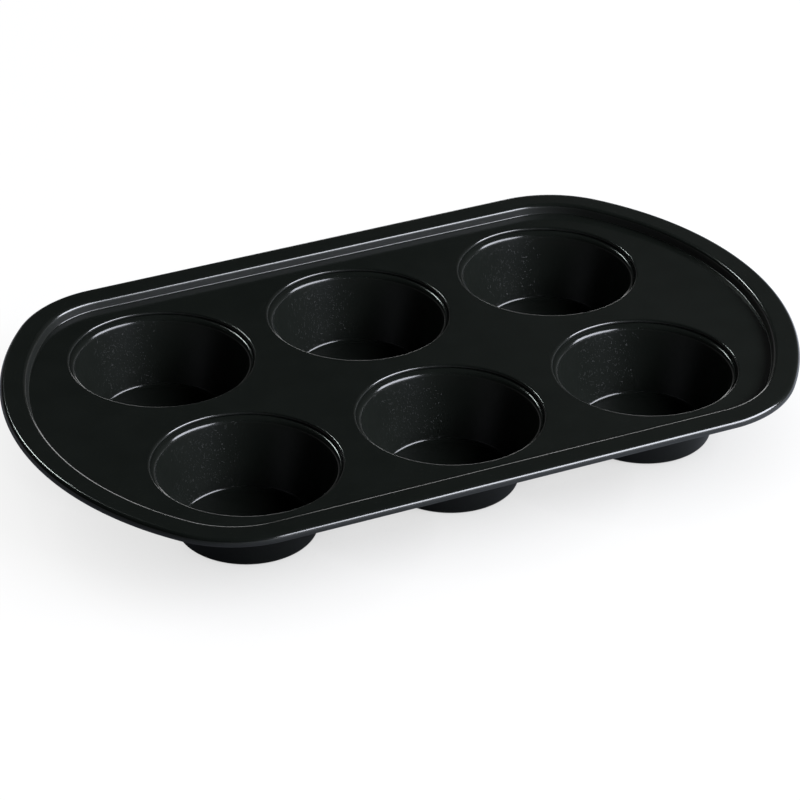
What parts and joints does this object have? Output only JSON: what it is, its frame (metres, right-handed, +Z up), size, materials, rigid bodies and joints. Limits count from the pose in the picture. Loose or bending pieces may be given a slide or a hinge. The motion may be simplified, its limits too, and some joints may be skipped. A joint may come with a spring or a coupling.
{
  "type": "muffin pan",
  "caption": "Black coated sheet-steel muffin pan: long deck with bowed ends, raised rim rolled over a wire, and round tapered cups held in the deck by folded lock seams.",
  "frame": {"origin": "under the middle of the pan, level with the undersides of the cups", "axes": "+X along the length of the pan, +Y across it towards the back row of cups, +Z up out of the cups' mouths"},
  "size_m": [0.3234, 0.199, 0.0334],
  "materials": {
    "black_coating": "dark grey-black non-stick coating on steel sheet, satin, with a fine grain",
    "bare_steel": "drawn steel wire"
  },
  "bodies": {
    "root": {"tray": "black_coating", "rim_wire": "bare_steel", "cup_front_left": "black_coating", "cup_front_centre": "black_coating", "cup_front_right": "black_coating", "cup_back_left": "black_coating", "cup_back_centre": "black_coating", "cup_back_right": "black_coating"}
  },
  "joints": []
}
